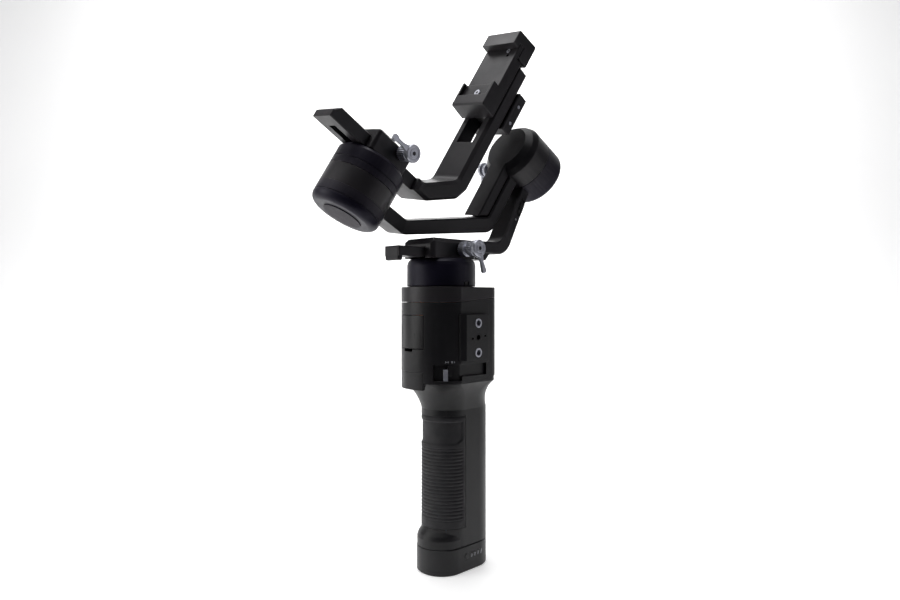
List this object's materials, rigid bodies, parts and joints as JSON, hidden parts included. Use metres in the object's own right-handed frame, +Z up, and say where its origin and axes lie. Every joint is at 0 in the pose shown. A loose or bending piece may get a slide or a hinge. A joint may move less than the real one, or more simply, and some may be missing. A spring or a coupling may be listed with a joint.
{
  "type": "camera gimbal",
  "caption": "Hand-held three-axis camera gimbal: battery grip with controls, pan, roll and tilt motors on angled arms, and a sliding camera clamp.",
  "frame": {"origin": "on the ground plane of the grip's base, under the vertical pan axis", "axes": "+Z up along the pan axis, -Y the front of the handle (trigger side), +X the accessory block side"},
  "size_m": [0.0754, 0.2112, 0.3915],
  "materials": {
    "body_plastic": "fine matte moulded black",
    "collar_metal": "black anodised, satin",
    "grip_rubber": "soft textured rubber",
    "arm_metal": "black anodised, satin",
    "motor_shell": "black anodised, turned",
    "badge_grey": "dark smoked disc",
    "steel": "bright satin steel",
    "bearing_steel": "ground steel",
    "stator": "copper windings on laminated steel",
    "control_dark": "semi-gloss black",
    "record_red": "semi-gloss red",
    "led": "frosted light window",
    "cell_wrap": "shrink-wrapped cells",
    "board": "green circuit board",
    "contact_block": "black moulded contact block",
    "cable_jacket": "flat ribbon jacket"
  },
  "bodies": {
    "handle": {"grip_shell": "body_plastic", "grip_front_pad": "grip_rubber", "grip_back_strip": "grip_rubber", "grip_base": "body_plastic", "tripod_insert": "steel", "battery_leds": "led", "battery_cells": "cell_wrap", "battery_board": "board", "grip_contacts": "contact_block", "body_shell": "body_plastic", "front_skirt": "body_plastic", "back_panel": "body_plastic", "collar": "collar_metal", "accessory_mount": "body_plastic", "threaded_inserts": "steel", "control_board": "board", "joystick_ring": "body_plastic", "status_lights": "led", "pan_stator": "stator", "pan_bearings": "bearing_steel"},
    "battery_button": {"battery_button": "control_dark"},
    "grip_lock": {"lock_knob": "steel", "lock_carrier": "control_dark"},
    "trigger": {"trigger": "control_dark"},
    "stick_carrier": {"joystick_gimbal": "control_dark"},
    "stick": {"joystick_cap": "control_dark"},
    "mode_button": {"mode_button": "control_dark"},
    "record_button": {"record_button": "record_red"},
    "power_button": {"power_button": "control_dark"},
    "usb_cover": {"usb_cover": "body_plastic"},
    "pan_head": {"pan_rotor": "motor_shell", "pan_clamp": "arm_metal"},
    "pan_lock": {"pan_lock_tab": "control_dark"},
    "pan_lever": {"pan_lever": "steel"},
    "pan_arm": {"pan_arm": "arm_metal", "roll_dot": "led", "roll_motor": "motor_shell", "roll_bearings": "bearing_steel"},
    "roll_lock": {"roll_lock": "control_dark"},
    "roll_arm": {"roll_arm": "arm_metal", "roll_arm_cover": "arm_metal", "roll_cable": "cable_jacket", "tilt_motor": "motor_shell", "tilt_coil": "stator", "tilt_bearings": "bearing_steel", "tilt_badge": "badge_grey"},
    "roll_lever": {"roll_lever": "steel"},
    "tilt_head": {"tilt_rotor": "motor_shell", "tilt_clamp": "arm_metal"},
    "tilt_lever": {"tilt_lever": "steel"},
    "tilt_arm": {"tilt_arm": "arm_metal"},
    "camera_clamp": {"clamp_base": "arm_metal", "jaw_bolt": "steel", "bed_screw": "steel", "rear_block": "arm_metal", "rear_screws": "steel"},
    "clamp_knob": {"clamp_knob": "arm_metal"},
    "top_jaw": {"top_jaw": "arm_metal"}
  },
  "joints": [
    {"name": "pan_turn", "type": "hinge", "parent": "handle", "child": "pan_head", "pos_m": [0, 0, 0.2], "axis": [0, 0, 1], "continuous": true},
    {"name": "pan_balance", "type": "slide", "parent": "pan_head", "child": "pan_arm", "axis": [0, 1, 0], "range_m": [-0.004, 0.018]},
    {"name": "pan_lever_turn", "type": "hinge", "parent": "pan_head", "child": "pan_lever", "pos_m": [0.012, 0.0045, 0.2224], "axis": [1, 0, 0], "range_deg": [0, 90]},
    {"name": "pan_lock_slide", "type": "slide", "parent": "pan_head", "child": "pan_lock", "axis": [0, 1, 0], "range_m": [0, 0.0018]},
    {"name": "roll_turn", "type": "hinge", "parent": "pan_arm", "child": "roll_arm", "pos_m": [0, -0.0119, 0.3503], "axis": [0, -0.8788, 0.4772], "range_deg": [-321, 14]},
    {"name": "roll_lock_slide", "type": "slide", "parent": "pan_arm", "child": "roll_lock", "axis": [0, -0.4772, -0.8788], "range_m": [-0.0025, 0.0025]},
    {"name": "roll_lever_turn", "type": "hinge", "parent": "roll_arm", "child": "roll_lever", "pos_m": [-0.02163, 0.07727, 0.29196], "axis": [-0.9877, 0.0746, 0.1375], "range_deg": [0, 60]},
    {"name": "tilt_turn", "type": "hinge", "parent": "roll_arm", "child": "tilt_head", "pos_m": [0, -0.0119, 0.3503], "axis": [0.1564, 0.4713, 0.868], "range_deg": [-202, 124]},
    {"name": "tilt_lever_turn", "type": "hinge", "parent": "tilt_head", "child": "tilt_lever", "pos_m": [0.00339, -0.04005, 0.28387], "axis": [0.9856, -0.0178, -0.168], "range_deg": [0, 60]},
    {"name": "tilt_balance", "type": "slide", "parent": "tilt_head", "child": "tilt_arm", "axis": [-0.0637, 0.8818, -0.4673], "range_m": [-0.01, 0.006]},
    {"name": "clamp_height", "type": "slide", "parent": "tilt_arm", "child": "camera_clamp", "axis": [0.1564, 0.4713, 0.868], "range_m": [-0.001, 0.01]},
    {"name": "clamp_knob_turn", "type": "hinge", "parent": "camera_clamp", "child": "clamp_knob", "pos_m": [-0.00211, 0.06336, 0.32998], "axis": [-0.0637, 0.8818, -0.4673], "continuous": true},
    {"name": "jaw_open", "type": "slide", "parent": "camera_clamp", "child": "top_jaw", "axis": [0.1564, 0.4713, 0.868], "range_m": [0, 0.024]},
    {"name": "grip_lock_turn", "type": "hinge", "parent": "handle", "child": "grip_lock", "pos_m": [0, 0, 0.14], "axis": [0, 0, 1], "range_deg": [-12, 14]},
    {"name": "trigger_pull", "type": "hinge", "parent": "handle", "child": "trigger", "pos_m": [0, -0.0262, 0.1768], "axis": [1, 0, 0], "range_deg": [0, 2.5], "stiffness_Nm_per_rad": 0.35},
    {"name": "stick_up_down", "type": "hinge", "parent": "handle", "child": "stick_carrier", "pos_m": [0, 0.0281, 0.171], "axis": [1, 0, 0], "range_deg": [-6, 6], "stiffness_Nm_per_rad": 0.05},
    {"name": "stick_left_right", "type": "hinge", "parent": "stick_carrier", "child": "stick", "pos_m": [0, 0.0281, 0.171], "axis": [0, 0, 1], "range_deg": [-6, 6], "stiffness_Nm_per_rad": 0.05},
    {"name": "mode_press", "type": "slide", "parent": "handle", "child": "mode_button", "axis": [0, -1, 0], "range_m": [0, 0.0006], "stiffness_N_per_m": 400},
    {"name": "record_press", "type": "slide", "parent": "handle", "child": "record_button", "axis": [0, -1, 0], "range_m": [0, 0.0006], "stiffness_N_per_m": 400},
    {"name": "power_press", "type": "slide", "parent": "handle", "child": "power_button", "axis": [1, 0, 0], "range_m": [0, 0.0005], "stiffness_N_per_m": 400},
    {"name": "battery_press", "type": "slide", "parent": "handle", "child": "battery_button", "axis": [-1, 0, 0], "range_m": [0, 0.0005], "stiffness_N_per_m": 400},
    {"name": "usb_cover_open", "type": "hinge", "parent": "handle", "child": "usb_cover", "pos_m": [-0.02685, 0.0061, 0.153], "axis": [0, 0, 1], "range_deg": [-100, 0]}
  ]
}
